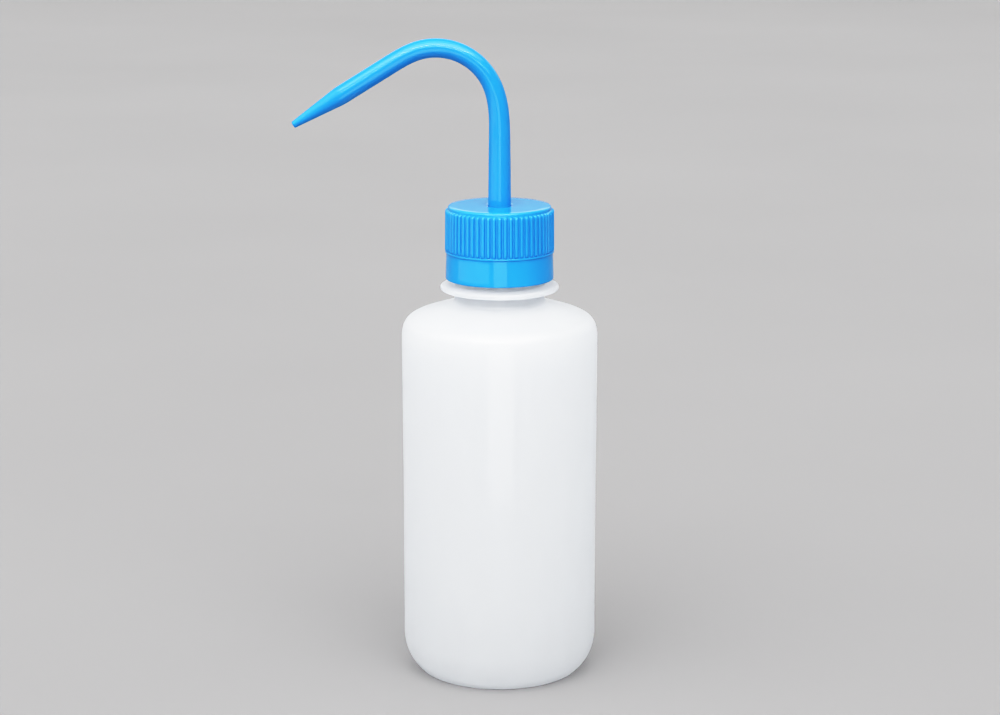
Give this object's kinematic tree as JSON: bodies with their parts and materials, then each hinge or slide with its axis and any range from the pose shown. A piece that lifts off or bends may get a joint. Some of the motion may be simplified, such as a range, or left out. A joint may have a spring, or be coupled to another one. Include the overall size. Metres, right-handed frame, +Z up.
{
  "type": "wash bottle",
  "caption": "Translucent squeeze bottle with a ribbed blue screw cap, a bent tapering blue spout and a dip tube, for rinsing glassware.",
  "frame": {"origin": "middle of the object's footprint (its bounding box) on the surface it stands on; the bottle's own axis is 20.5 mm towards +X", "axes": "+Z up along the bottle's axis; -X the way the spout points at rest; +Y completes the right-handed set, with the camera side of the bottle at -Y"},
  "size_m": [0.1164, 0.0754, 0.2476],
  "materials": {
    "bottle_ldpe": "milky translucent low-density polyethylene, satin",
    "plug_ldpe": "natural low-density polyethylene, satin",
    "cap_pp": "sky-blue polypropylene, moulded gloss",
    "spout_pp": "sky-blue polyolefin, soft moulded gloss",
    "dip_tube_ldpe": "clear-milky extruded tube"
  },
  "bodies": {
    "bottle": {"bottle": "bottle_ldpe"},
    "closure": {"inner_plug": "plug_ldpe"},
    "cap": {"screw_cap": "cap_pp"},
    "delivery": {"spout": "spout_pp", "dip_tube": "dip_tube_ldpe"}
  },
  "joints": [
    {"name": "closure_lift", "type": "slide", "parent": "bottle", "child": "closure", "axis": [0, 0, 1], "range_m": [0, 0.0064]},
    {"name": "cap_turn", "type": "hinge", "parent": "closure", "child": "cap", "pos_m": [0.02055, 0, 0.17], "axis": [0, 0, 1], "range_deg": [0, 540]},
    {"name": "spout_swivel", "type": "hinge", "parent": "closure", "child": "delivery", "pos_m": [0.02055, 0, 0.181], "axis": [0, 0, 1], "continuous": true}
  ],
  "couplings": [
    {"joint": "closure_lift", "follows": "cap_turn", "m_per_rad": 0.00066845}
  ]
}
